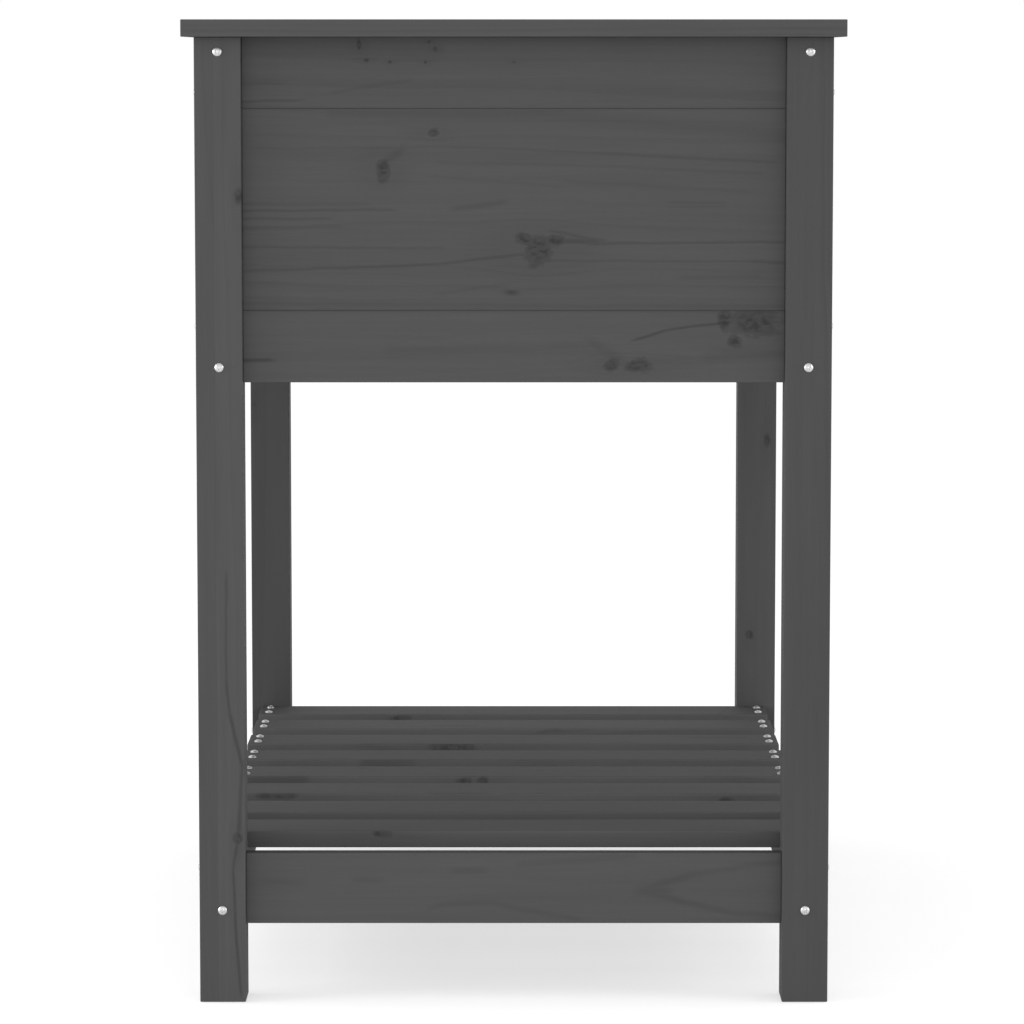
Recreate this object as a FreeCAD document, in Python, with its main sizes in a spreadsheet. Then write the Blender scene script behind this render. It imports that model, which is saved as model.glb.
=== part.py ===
import FreeCAD, Part
import os
import Sketcher

# Potting bench: four square legs carry a deep open trough of pine boards under a flat rim, with a
# slatted shelf on rails near the ground. Millimetres, +X along the bench, +Y from its front to its
# back, +Z up. The origin is on the ground under the middle of the bench.

DRIVING_SIZES = [
    ("bench_length", 825, "over the rim, along X"),
    ("bench_width", 540, "over the rim, along Y"),
    ("bench_height", 810, "ground to the top of the rim"),
    ("rim_overhang", 10, "rim past the outer faces of the legs"),
    ("leg_side", 38, "square legs"),
    ("board_thick", 14, "walls, rails, rim, slats, floor boards and battens"),
    ("board_width", 59, "rails, rim, slats, floor boards and the lower boards of the walls"),
    ("middle_width", 165, "the wide board in the middle of each wall"),
    ("trough_bottom", 514, "lower edge of the trough walls above the ground"),
    ("rail_bottom", 64, "lower edge of the rails above the ground"),
    ("tongue_height", 5, "tongue on the upper edge of a wall board"),
    ("tongue_thick", 4, "tongue in the middle of the board's thickness"),
    ("tongue_play", 0.3, "air between a tongue and its groove, on each side"),
    ("arris", 0.6, "rounding of the boards' long edges"),
    ("leg_arris", 1.0, "rounding of the legs' long edges"),
    ("slat_count", 8, "shelf slats"),
    ("slat_overhang", 2, "slat ends past the outer faces of the long rails"),
    ("floor_count", 11, "trough floor boards"),
    ("bearer_side", 20, "square bearers under the trough floor"),
    ("bearer_lift", 2, "bearers above the lower edge of the walls"),
    ("batten_width", 40, "vertical battens that tie the boards of a wall"),
    ("batten_gap", 3, "air above and below a batten, clear of the floor screws"),
    ("screw_shank", 4, "nominal size of every wood screw"),
    ("screw_hole", 4.2, "hole around a screw"),
    ("head_wide", 7.4, "screw head diameter"),
    ("head_high", 2.2, "domed head height"),
    ("head_rim", 0.6, "straight edge of a domed head"),
    ("sunk_deep", 2.0, "cone of a countersunk head"),
    ("recess_long", 4.4, "cross recess, tip to tip"),
    ("recess_wide", 1.1, "cross recess, width of each slot"),
    ("recess_deep", 1.3, "cross recess, depth"),
    ("point_long", 5, "tapered point of a screw"),
    ("edge_margin", 13, "screw centre from the edge of a board whose end it enters"),
    ("slat_screw_half", 15.5, "slat screws each side of the slat's centre line"),
    ("leg_screw", 65, "screws through the legs, under the head"),
    ("shelf_screw", 35, "screws through the slats"),
    ("floor_screw", 30, "screws through the floor boards, and through the bearers"),
    ("batten_screw", 25, "screws through the battens"),
    ("rim_screw", 40, "countersunk screws through the rim, overall"),
]

FLAT = FreeCAD.Rotation()
ON_EDGE = FreeCAD.Rotation(FreeCAD.Vector(1, 0, 0), 90)
ACROSS = FreeCAD.Rotation(FreeCAD.Vector(0, 0, 1), 90)


class Size:
    """A length in millimetres that knows the spreadsheet expression it comes from."""

    def __init__(self, value, text):
        self.value = value
        self.text = text

    @staticmethod
    def of(item):
        return item if isinstance(item, Size) else Size(item, repr(item))

    def _joined(self, other, sign, value):
        return Size(value, f"({self.text} {sign} {other.text})")

    def __add__(self, other):
        other = Size.of(other)
        return self._joined(other, "+", self.value + other.value)

    def __sub__(self, other):
        other = Size.of(other)
        return self._joined(other, "-", self.value - other.value)

    def __mul__(self, other):
        other = Size.of(other)
        return self._joined(other, "*", self.value * other.value)

    def __truediv__(self, other):
        other = Size.of(other)
        return self._joined(other, "/", self.value / other.value)

    def __neg__(self):
        return Size(-self.value, f"(-1 * {self.text})")


def make_sheet(document):
    """The driving dimensions, one row each: name, value, meaning."""
    sheet = document.addObject("Spreadsheet::Sheet", "sizes")
    for row, (alias, value, meaning) in enumerate(DRIVING_SIZES, start=1):
        sheet.set(f"A{row}", alias)
        sheet.set(f"B{row}", str(value))
        sheet.setAlias(f"B{row}", alias)
        sheet.set(f"C{row}", meaning)
    document.recompute()
    return {alias: Size(sheet.get(alias), f"sizes.{alias}") for alias, _, _ in DRIVING_SIZES}


doc = FreeCAD.newDocument("potting_bench")
dims = make_sheet(doc)
parts = []

# Places that follow from the driving dimensions.
board_thick = dims["board_thick"]
board_width = dims["board_width"]
leg_side = dims["leg_side"]
leg_x = dims["bench_length"] / 2 - dims["rim_overhang"] - leg_side / 2
leg_y = dims["bench_width"] / 2 - dims["rim_overhang"] - leg_side / 2
leg_height = dims["bench_height"] - board_thick
between_legs_x = leg_x * 2 - leg_side
between_legs_y = leg_y * 2 - leg_side
upper_width = leg_height - dims["trough_bottom"] - board_width - dims["middle_width"]
lower_seam = dims["trough_bottom"] + board_width
upper_seam = lower_seam + dims["middle_width"]
rail_top = dims["rail_bottom"] + board_width
inner_x = leg_x - board_thick / 2
inner_y = leg_y - board_thick / 2
bearer_bottom = dims["trough_bottom"] + dims["bearer_lift"]
floor_bottom = bearer_bottom + dims["bearer_side"]
floor_top = floor_bottom + board_thick
batten_bottom = floor_top + dims["batten_gap"]
batten_length = leg_height - dims["batten_gap"] - batten_bottom
batten_middle = batten_bottom + batten_length / 2
rim_end_inner = dims["bench_length"] / 2 - board_width

# Heights of the leg screws. Those along X enter the long boards near one edge, those along Y enter
# the end boards near the other edge, so that the two sets pass each other inside the leg.
margin = dims["edge_margin"]
heights_along_x = [dims["rail_bottom"] + margin, dims["trough_bottom"] + margin, leg_height - margin + 1]
heights_along_y = [rail_top - margin, lower_seam - margin, upper_seam + margin]


def spread(count, span):
    """The centres of so many board_width boards, evenly spaced with the outer ones flush with span."""
    pitch = (span - board_width) / (count - 1)
    return [pitch * (index - (count - 1) / 2) for index in range(count)]


slat_places = spread(int(dims["slat_count"].value), between_legs_x)
floor_places = spread(int(dims["floor_count"].value), between_legs_x)
batten_places_x = [-(between_legs_x / 6), between_legs_x / 6]
bearer_screw_places = [between_legs_x * step for step in (-0.43, -0.14, 0.14, 0.43)]
batten_screw_heights = [
    (batten_bottom + lower_seam) / 2,
    lower_seam + dims["middle_width"] / 4,
    lower_seam + dims["middle_width"] * 3 / 4,
    (upper_seam + leg_height) / 2,
]
rim_long_places = [between_legs_x * step for step in (-0.45, -0.15, 0.15, 0.45)]
rim_end_places = [between_legs_y * step for step in (-0.17, 0.17)]
rim_leg_offset = leg_side / 4


def origin_plane(body, role):
    return next(feature for feature in body.Origin.OriginFeatures if feature.Role == role)


def new_body(label, place, turn):
    """A body bound to the sheet by its position. place is three sizes or numbers."""
    body = doc.addObject("PartDesign::Body", label)
    body.Label = label
    place = [Size.of(item) for item in place]
    body.Placement = FreeCAD.Placement(FreeCAD.Vector(*[item.value for item in place]), turn)
    for axis, item in zip("xyz", place):
        body.setExpression(f"Placement.Base.{axis}", item.text)
    parts.append(body)
    return body


def new_sketch(body, role, lift=None):
    """A sketch on one of the body's origin planes, lifted along that plane's normal."""
    sketch = body.newObject("Sketcher::SketchObject", "sketch")
    sketch.AttachmentSupport = [(origin_plane(body, role), "")]
    sketch.MapMode = "FlatFace"
    if lift is not None:
        sketch.AttachmentOffset = FreeCAD.Placement(FreeCAD.Vector(0, 0, lift.value), FLAT)
        sketch.setExpression("AttachmentOffset.Base.z", lift.text)
    return sketch


def pin_point(sketch, geometry, point, place):
    """Holds a point of the sketch at a place given by two sizes."""
    for kind, item in zip(("DistanceX", "DistanceY"), place):
        item = Size.of(item)
        index = sketch.addConstraint(Sketcher.Constraint(kind, -1, 1, geometry, point, item.value))
        sketch.setExpression(f"Constraints[{index}]", item.text)


def flat_vector(place):
    return FreeCAD.Vector(Size.of(place[0]).value, Size.of(place[1]).value, 0)


def draw_outline(sketch, corners):
    """A closed outline of straight lines through corners, each a pair of sizes."""
    first = sketch.GeometryCount
    count = len(corners)
    for index in range(count):
        start, end = corners[index], corners[(index + 1) % count]
        sketch.addGeometry(Part.LineSegment(flat_vector(start), flat_vector(end)), False)
    for index in range(count):
        following = first + (index + 1) % count
        sketch.addConstraint(Sketcher.Constraint("Coincident", first + index, 2, following, 1))
        pin_point(sketch, first + index, 1, corners[index])


def draw_holes(sketch, places, diameter):
    """Circles of one diameter at places, each a pair of sizes."""
    for place in places:
        circle = Part.Circle(flat_vector(place), FreeCAD.Vector(0, 0, 1), diameter.value / 2)
        index = sketch.addGeometry(circle, False)
        pin_point(sketch, index, 3, place)
        bound = sketch.addConstraint(Sketcher.Constraint("Diameter", index, diameter.value))
        sketch.setExpression(f"Constraints[{bound}]", diameter.text)


def pad(body, sketch, length, both_ways):
    feature = body.newObject("PartDesign::Pad", "pad")
    feature.Profile = sketch
    feature.SideType = "Symmetric" if both_ways else "One side"
    feature.setExpression("Length", length.text)
    doc.recompute()
    return feature


def checked_cut(body, feature, before):
    """Recomputes and makes sure that the feature took material away."""
    doc.recompute()
    body.Tip = feature
    if feature.Shape.Volume >= before - 0.01:
        raise RuntimeError(f"{body.Label}: {feature.Name} cuts nothing")


def drill_through(body, role, places):
    """Screw holes right through the body, square to one of its origin planes."""
    sketch = new_sketch(body, role)
    draw_holes(sketch, places, dims["screw_hole"])
    before = body.Shape.Volume
    feature = body.newObject("PartDesign::Pocket", "through_holes")
    feature.Profile = sketch
    feature.Type = "ThroughAll"
    feature.SideType = "Symmetric"
    checked_cut(body, feature, before)


def drill_blind(body, role, lift, places, depth, reverse=False):
    """Screw holes of a given depth, from a plane at lift down against its normal."""
    sketch = new_sketch(body, role, lift)
    draw_holes(sketch, places, dims["screw_hole"])
    before = body.Shape.Volume
    feature = body.newObject("PartDesign::Pocket", "blind_holes")
    feature.Profile = sketch
    feature.Reversed = reverse
    feature.setExpression("Length", depth.text)
    checked_cut(body, feature, before)
    return feature


def mirror_holes(body, feature):
    """Repeats holes at the other end of the body."""
    before = body.Shape.Volume
    mirrored = body.newObject("PartDesign::Mirrored", "other_end")
    mirrored.Originals = [feature]
    mirrored.MirrorPlane = (origin_plane(body, "YZ_Plane"), [""])
    checked_cut(body, mirrored, before)


def long_edges(shape, axis, half_a, half_b):
    """Names of the straight edges along an axis that lie on the corners of the outer section."""
    names = []
    others = [index for index in range(3) if index != axis]
    for number, edge in enumerate(shape.Edges, start=1):
        start, end = edge.Vertexes[0].Point, edge.Vertexes[-1].Point
        along = abs((end - start)[axis])
        corner = [abs(abs(start[other]) - half) < 0.01 for other, half in zip(others, (half_a, half_b))]
        if along > 1 and abs(along - edge.Length) < 0.001 and all(corner):
            names.append(f"Edge{number}")
    return names


def round_edges(body, feature, names, radius):
    fillet = body.newObject("PartDesign::Fillet", "eased_edges")
    fillet.Base = (feature, names)
    fillet.setExpression("Radius", radius.text)
    doc.recompute()
    body.Tip = fillet


def board_section(width, tongue, groove):
    """Corners of a board's section, width along the first axis and thickness along the second."""
    side, half = width / 2, board_thick / 2
    tip, cheek = dims["tongue_height"], dims["tongue_thick"] / 2
    deep, slack = tip + dims["tongue_play"], cheek + dims["tongue_play"]
    corners = [(-side, -half), (side, -half)]
    if tongue:
        corners += [(side, -cheek), (side + tip, -cheek), (side + tip, cheek), (side, cheek)]
    corners += [(side, half), (-side, half)]
    if groove:
        corners += [(-side, slack), (deep - side, slack), (deep - side, -slack), (-side, -slack)]
    return corners


def make_board(label, length, width, place, turn, tongue=False, groove=False):
    """A board along its own X, its width along Y and its thickness along Z, on its own centre."""
    body = new_body(label, place, turn)
    sketch = new_sketch(body, "YZ_Plane")
    draw_outline(sketch, board_section(width, tongue, groove))
    feature = pad(body, sketch, length, both_ways=True)
    names = long_edges(feature.Shape, 0, width.value / 2, board_thick.value / 2)
    round_edges(body, feature, names, dims["arris"])
    return body


def make_legs():
    """Square posts from the ground to the rim, with crossing screw holes and two holes for the rim."""
    corners = {
        "leg_front_left": (-1, -1),
        "leg_front_right": (1, -1),
        "leg_back_left": (-1, 1),
        "leg_back_right": (1, 1),
    }
    half = leg_side / 2
    for label, (side_x, side_y) in corners.items():
        body = new_body(label, (leg_x * side_x, leg_y * side_y, 0), FLAT)
        sketch = new_sketch(body, "XY_Plane")
        draw_outline(sketch, [(-half, -half), (half, -half), (half, half), (-half, half)])
        feature = pad(body, sketch, leg_height, both_ways=False)
        names = long_edges(feature.Shape, 2, half.value, half.value)
        round_edges(body, feature, names, dims["leg_arris"])
        drill_through(body, "YZ_Plane", [(0, height) for height in heights_along_x])
        drill_through(body, "XZ_Plane", [(0, height) for height in heights_along_y])
        holes = [(0, -rim_leg_offset), (0, rim_leg_offset)]
        drill_blind(body, "XY_Plane", leg_height, holes, dims["rim_screw"] - board_thick + 1)


# The four sides of the bench: name, turn about +Z from the back side, length of its boards, distance
# of their middle plane from the middle of the bench, and whether screws along X enter their ends.
SIDES = [
    ("back", 0, between_legs_x, leg_y, True),
    ("front", 180, between_legs_x, leg_y, True),
    ("right", -90, between_legs_y, leg_x, False),
    ("left", 90, between_legs_y, leg_x, False),
]


def side_turn(angle):
    """A board on edge whose upper face looks into the bench from the side at that angle."""
    return FreeCAD.Rotation(FreeCAD.Vector(0, 0, 1), angle) * ON_EDGE


def side_place(angle, distance, height):
    """A point at that distance from the middle, on the side at that angle."""
    steps = {0: (0, 1), 180: (0, -1), -90: (1, 0), 90: (-1, 0)}[angle]
    return (distance * steps[0], distance * steps[1], height)


def drill_ends(body, length, height_in_board):
    """A screw hole into each end grain."""
    depth = dims["leg_screw"] - leg_side + 1
    holes = drill_blind(body, "YZ_Plane", length / 2, [(height_in_board, 0)], depth)
    mirror_holes(body, holes)


def make_walls():
    """Three tongued boards on each side of the trough. Screws enter the lower and the upper one."""
    lower_middle = dims["trough_bottom"] + board_width / 2
    middle = lower_seam + dims["middle_width"] / 2
    upper_middle = upper_seam + upper_width / 2
    rows = [
        ("lower", lower_middle, board_width, True, False, 1),
        ("middle", middle, dims["middle_width"], True, True, None),
        ("upper", upper_middle, upper_width, False, True, 2),
    ]
    for side, angle, length, distance, along_x in SIDES:
        heights = heights_along_x if along_x else heights_along_y
        battens = batten_places_x if along_x else [Size(0, "0")]
        for row, centre, width, tongue, groove, screw in rows:
            label = f"{side}_wall_{row}_board"
            place = side_place(angle, distance, centre)
            body = make_board(label, length, width, place, side_turn(angle), tongue, groove)
            if screw is not None:
                drill_ends(body, length, heights[screw] - centre)
            inside = [
                (along, height - centre)
                for along in battens
                for height in batten_screw_heights
                if abs((height - centre).value) < width.value / 2
            ]
            depth = dims["batten_screw"] - board_thick + 0.5
            drill_blind(body, "XY_Plane", board_thick / 2, inside, depth)
            if row == "lower" and along_x:
                height = bearer_bottom + dims["bearer_side"] / 2 - centre
                places = [(along, height) for along in bearer_screw_places]
                depth = dims["floor_screw"] - dims["bearer_side"] + 0.5
                drill_blind(body, "XY_Plane", board_thick / 2, places, depth)
            if row == "upper":
                places = rim_long_places if along_x else rim_end_places
                top_holes = [(along, 0) for along in places]
                depth = dims["rim_screw"] - board_thick + 1
                drill_blind(body, "XZ_Plane", -width / 2, top_holes, depth, reverse=True)


def make_rails():
    """A rail on edge between the legs on each side. The long ones carry the slats."""
    centre = dims["rail_bottom"] + board_width / 2
    for side, angle, length, distance, along_x in SIDES:
        heights = heights_along_x if along_x else heights_along_y
        place = side_place(angle, distance, centre)
        body = make_board(f"{side}_rail", length, board_width, place, side_turn(angle))
        drill_ends(body, length, heights[0] - centre)
        if along_x:
            half = dims["slat_screw_half"]
            top_holes = [(slat + step, 0) for slat in slat_places for step in (-half, half)]
            depth = dims["shelf_screw"] - board_thick + 1
            drill_blind(body, "XZ_Plane", -board_width / 2, top_holes, depth, reverse=True)


def make_shelf():
    """Slats across the long rails, two screws in each end."""
    length = (leg_y + board_thick / 2 + dims["slat_overhang"]) * 2
    height = rail_top + board_thick / 2
    half = dims["slat_screw_half"]
    for number, place_x in enumerate(reversed(slat_places), start=1):
        body = make_board(f"shelf_slat_{number}", length, board_width, (place_x, 0, height), ACROSS)
        holes = [(end, side) for end in (-leg_y, leg_y) for side in (-half, half)]
        drill_through(body, "XY_Plane", holes)


def make_trough_floor():
    """Two bearers on the long walls, and boards across them with drainage gaps."""
    side = dims["bearer_side"]
    length = between_legs_x - 2
    floor_screw_y = inner_y - side / 2
    for label, direction, angle in (("floor_bearer_front", -1, 180), ("floor_bearer_back", 1, 0)):
        place = (0, (inner_y - side / 2) * direction, bearer_bottom + side / 2)
        turn = FreeCAD.Rotation(FreeCAD.Vector(0, 0, 1), angle)
        body = new_body(label, place, turn)
        sketch = new_sketch(body, "YZ_Plane")
        half = side / 2
        draw_outline(sketch, [(-half, -half), (half, -half), (half, half), (-half, half)])
        feature = pad(body, sketch, length, both_ways=True)
        names = long_edges(feature.Shape, 0, half.value, half.value)
        round_edges(body, feature, names, dims["arris"])
        drill_through(body, "XZ_Plane", [(along, 0) for along in bearer_screw_places])
        depth = dims["floor_screw"] - board_thick + 1
        drill_blind(body, "XY_Plane", half, [(along, 0) for along in floor_places], depth)
    length = inner_y * 2 - 1
    height = floor_bottom + board_thick / 2
    for number, place_x in enumerate(reversed(floor_places), start=1):
        label = f"floor_board_{number}"
        body = make_board(label, length, board_width, (place_x, 0, height), ACROSS)
        drill_through(body, "XY_Plane", [(-floor_screw_y, 0), (floor_screw_y, 0)])


def make_battens():
    """Upright battens on the inner faces of the walls: two on each long wall, one on each end."""
    for side, angle, _, distance, along_x in SIDES:
        inside = distance - board_thick
        places = batten_places_x if along_x else [Size(0, "0")]
        for number, along in enumerate(places, start=1):
            label = f"{side}_batten_{number}" if along_x else f"{side}_batten"
            across = side_place(angle, inside, batten_middle)
            place = (across[0] + along, across[1], across[2]) if along_x else across
            upright = side_turn(angle) * ACROSS
            body = make_board(label, batten_length, dims["batten_width"], place, upright)
            holes = [(height - batten_middle, 0) for height in batten_screw_heights]
            drill_through(body, "XY_Plane", holes)


def sink_heads(body, lift, places):
    """Cones for countersunk heads, from the upper face down."""
    top, shank = dims["head_wide"] / 2 + 0.1, dims["screw_hole"] / 2
    before = body.Shape.Volume
    for place in places:
        cone = doc.addObject("PartDesign::SubtractiveCone", "sunk_head")
        body.addObject(cone)
        cone.setExpression("Radius1", shank.text)
        cone.setExpression("Radius2", top.text)
        cone.setExpression("Height", (dims["sunk_deep"] + 0.1).text)
        cone.AttachmentSupport = [(origin_plane(body, "XY_Plane"), "")]
        cone.MapMode = "FlatFace"
        spots = (place[0], place[1], lift - dims["sunk_deep"] - 0.1)
        for axis, item in zip("xyz", spots):
            cone.setExpression(f"AttachmentOffset.Base.{axis}", Size.of(item).text)
        checked_cut(body, cone, before)
        before = body.Shape.Volume


def make_rim():
    """A flat frame on the legs and walls: full-width end boards with the long ones between them."""
    height = leg_height + board_thick / 2
    end_x = dims["bench_length"] / 2 - board_width / 2
    long_y = dims["bench_width"] / 2 - board_width / 2
    for label, side in (("rim_left", -1), ("rim_right", 1)):
        body = make_board(label, dims["bench_width"], board_width, (end_x * side, 0, height), ACROSS)
        screw_line = (end_x - leg_x) * side
        leg_spots = [leg_y * end + rim_leg_offset * step for end in (-1, 1) for step in (-1, 1)]
        holes = [(along, screw_line) for along in leg_spots + rim_end_places]
        drill_through(body, "XY_Plane", holes)
        sink_heads(body, board_thick / 2, holes)
    for label, side in (("rim_front", -1), ("rim_back", 1)):
        body = make_board(label, rim_end_inner * 2, board_width, (0, long_y * side, height), FLAT)
        screw_line = (leg_y - long_y) * side
        holes = [(along, screw_line) for along in rim_long_places]
        drill_through(body, "XY_Plane", holes)
        sink_heads(body, board_thick / 2, holes)


def screw_profile(sketch, length, domed):
    """Half of a screw's outline: the face under a domed head, or the top of a sunk one, is at zero."""
    shank, wide = dims["screw_shank"] / 2, dims["head_wide"] / 2
    if domed:
        crown = dims["head_high"]
        head = [(0, crown), (wide * 0.62, crown - 0.35), (wide * 0.9, dims["head_rim"] + 0.6)]
        head += [(wide, dims["head_rim"]), (wide, 0), (shank, 0)]
    else:
        head = [(0, 0), (wide, 0), (shank, -dims["sunk_deep"])]
    tail = [(shank, dims["point_long"] - length), (0, -length)]
    draw_outline(sketch, head + tail)


def make_screw(label, length, domed):
    """A wood screw along its own Z with its point down and a cross recess in its head."""
    body = new_body(label, (0, 0, 0), FLAT)
    parts.remove(body)
    sketch = new_sketch(body, "XZ_Plane")
    screw_profile(sketch, length, domed)
    turned = body.newObject("PartDesign::Revolution", "turned")
    turned.Profile = sketch
    turned.ReferenceAxis = (sketch, ["V_Axis"])
    turned.Angle = 360
    doc.recompute()
    body.Tip = turned
    top = dims["head_high"] if domed else Size(0, "0")
    cross = new_sketch(body, "XY_Plane", top)
    arm, half = dims["recess_long"] / 2, dims["recess_wide"] / 2
    draw_outline(cross, [
        (arm, -half), (arm, half), (half, half), (half, arm), (-half, arm), (-half, half),
        (-arm, half), (-arm, -half), (-half, -half), (-half, -arm), (half, -arm), (half, -half),
    ])
    recess = body.newObject("PartDesign::Pocket", "recess")
    recess.Profile = cross
    recess.setExpression("Length", dims["recess_deep"].text)
    checked_cut(body, recess, turned.Shape.Volume)
    return body


def screw_group(label, screw, spots):
    """One node of separate screws. A spot is a place and the direction that the head looks."""
    copies = []
    for place, direction in spots:
        turn = FreeCAD.Rotation(FreeCAD.Vector(0, 0, 1), FreeCAD.Vector(*direction))
        copy = screw.Shape.copy()
        position = FreeCAD.Vector(*[Size.of(item).value for item in place])
        copy.Placement = FreeCAD.Placement(position, turn)
        copies.append(copy)
    group = doc.addObject("Part::Feature", label)
    group.Label = label
    group.Shape = Part.makeCompound(copies)
    parts.append(group)


def make_screws():
    leg_screw = make_screw("leg_screw_pattern", dims["leg_screw"], True)
    shelf_screw = make_screw("shelf_screw_pattern", dims["shelf_screw"], True)
    floor_screw = make_screw("floor_screw_pattern", dims["floor_screw"], True)
    batten_screw = make_screw("batten_screw_pattern", dims["batten_screw"], True)
    rim_screw = make_screw("rim_screw_pattern", dims["rim_screw"], False)
    signs = (-1, 1)

    face_x, face_y = leg_x + leg_side / 2, leg_y + leg_side / 2
    screw_group("leg_screws_ends", leg_screw, [
        ((face_x * end, leg_y * side, height), (end, 0, 0))
        for end in signs for side in signs for height in heights_along_x
    ])
    screw_group("leg_screws_sides", leg_screw, [
        ((leg_x * end, face_y * side, height), (0, side, 0))
        for end in signs for side in signs for height in heights_along_y
    ])
    half, slat_top = dims["slat_screw_half"], rail_top + board_thick
    screw_group("shelf_screws", shelf_screw, [
        ((slat + half * step, leg_y * side, slat_top), (0, 0, 1))
        for slat in slat_places for step in signs for side in signs
    ])
    floor_screw_y = inner_y - dims["bearer_side"] / 2
    screw_group("floor_screws", floor_screw, [
        ((board, floor_screw_y * side, floor_top), (0, 0, 1))
        for board in floor_places for side in signs
    ])
    bearer_face = inner_y - dims["bearer_side"]
    bearer_height = bearer_bottom + dims["bearer_side"] / 2
    screw_group("bearer_screws", floor_screw, [
        ((along, bearer_face * side, bearer_height), (0, -side, 0))
        for along in bearer_screw_places for side in signs
    ])
    long_face, end_face = inner_y - board_thick, inner_x - board_thick
    spots = [
        ((along, long_face * side, height), (0, -side, 0))
        for along in batten_places_x for side in signs for height in batten_screw_heights
    ]
    spots += [
        ((end_face * side, 0, height), (-side, 0, 0))
        for side in signs for height in batten_screw_heights
    ]
    screw_group("batten_screws", batten_screw, spots)
    top = dims["bench_height"]
    spots = [((along, leg_y * side, top), (0, 0, 1)) for along in rim_long_places for side in signs]
    spots += [((leg_x * end, along, top), (0, 0, 1)) for along in rim_end_places for end in signs]
    spots += [
        ((leg_x * end, leg_y * side + rim_leg_offset * step, top), (0, 0, 1))
        for end in signs for side in signs for step in signs
    ]
    screw_group("rim_screws", rim_screw, spots)


def check_and_write():
    """Stops on any failed object or bad shape, then writes one file for each sub-part."""
    doc.recompute()
    for item in doc.Objects:
        if any(word in item.State for word in ("Invalid", "Error")):
            raise RuntimeError(f"{item.Label} failed: {item.State}")
    for item in parts:
        if item.Shape.isNull() or not item.Shape.isValid():
            raise RuntimeError(f"{item.Label} has no valid shape")
    os.makedirs("parts", exist_ok=True)
    for item in parts:
        item.Shape.exportStep(os.path.join("parts", f"{item.Label}.step"))
        print(f"{item.Label}: {len(item.Shape.Solids)} solids, {item.Shape.Volume / 1000:.1f} cm3")
    print(f"{len(parts)} sub-parts")


make_legs()
make_walls()
make_rails()
make_shelf()
make_trough_floor()
make_battens()
make_rim()
make_screws()
check_and_write()
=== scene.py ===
import math

import bmesh
import bpy
from mathutils import Matrix, Vector


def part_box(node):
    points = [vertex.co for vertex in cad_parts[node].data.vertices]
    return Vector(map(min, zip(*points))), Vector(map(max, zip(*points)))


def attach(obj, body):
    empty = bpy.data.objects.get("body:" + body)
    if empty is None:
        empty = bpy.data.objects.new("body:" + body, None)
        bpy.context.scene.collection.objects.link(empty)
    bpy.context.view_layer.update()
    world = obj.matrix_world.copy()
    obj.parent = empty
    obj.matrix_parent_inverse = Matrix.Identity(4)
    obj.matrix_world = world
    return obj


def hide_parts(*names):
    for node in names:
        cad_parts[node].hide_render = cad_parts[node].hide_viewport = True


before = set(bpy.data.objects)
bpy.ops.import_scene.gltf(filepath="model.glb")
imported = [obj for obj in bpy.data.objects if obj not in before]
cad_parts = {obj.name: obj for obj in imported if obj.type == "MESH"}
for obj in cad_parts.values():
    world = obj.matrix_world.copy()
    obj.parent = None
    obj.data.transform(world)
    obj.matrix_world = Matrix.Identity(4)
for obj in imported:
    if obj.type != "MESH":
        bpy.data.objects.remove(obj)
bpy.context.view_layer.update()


# LEGS
# Four square posts of grey-stained pine, planed, with barely rounded edges. The front right one is
# glued from two strips. Long screws through two faces of each hold the walls and the rails.

STAIN = 0.0558
LEG_ARRIS = 0.0009
GLUE_LINE = -3.7


def put(tree, kind, *inputs, **settings):
    """Adds one shader node, sets it, and fills its sockets in order with links or values."""
    node = tree.nodes.new("ShaderNode" + kind)
    for key, value in settings.items():
        setattr(node, key, value)
    for socket, value in zip(node.inputs, inputs):
        if isinstance(value, bpy.types.NodeSocket):
            tree.links.new(value, socket)
        elif value is not None:
            socket.default_value = value
    return node


def calc(tree, operation, *values):
    return put(tree, "Math", *values, operation=operation).outputs[0]


def soft_step(tree, value, start, end, low=0.0, high=1.0):
    """From low at start to high at end, smoothly."""
    return put(tree, "MapRange", value, start, end, low, high, interpolation_type="SMOOTHSTEP").outputs[0]


def streaky(tree, place, pitch, detail=2.0):
    """Noise with lumps of the given length, width and depth in millimetres, centred on 0."""
    scale = put(tree, "VectorMath", place, [1 / size for size in pitch], operation="MULTIPLY").outputs[0]
    noise = put(tree, "TexNoise", scale, None, 1.0, detail, 0.55, noise_dimensions="3D")
    return calc(tree, "SUBTRACT", noise.outputs[0], 0.5)


def new_group(name, takes, gives):
    """An empty shader group with the named inputs and outputs."""
    group = bpy.data.node_groups.new(name, "ShaderNodeTree")
    for label, kind, value in takes:
        socket = group.interface.new_socket(label, in_out="INPUT", socket_type="NodeSocket" + kind)
        if value is not None:
            socket.default_value = value
    for label in gives:
        group.interface.new_socket(label, in_out="OUTPUT", socket_type="NodeSocketFloat")
    return group, group.nodes.new("NodeGroupInput").outputs, group.nodes.new("NodeGroupOutput").inputs


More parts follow.
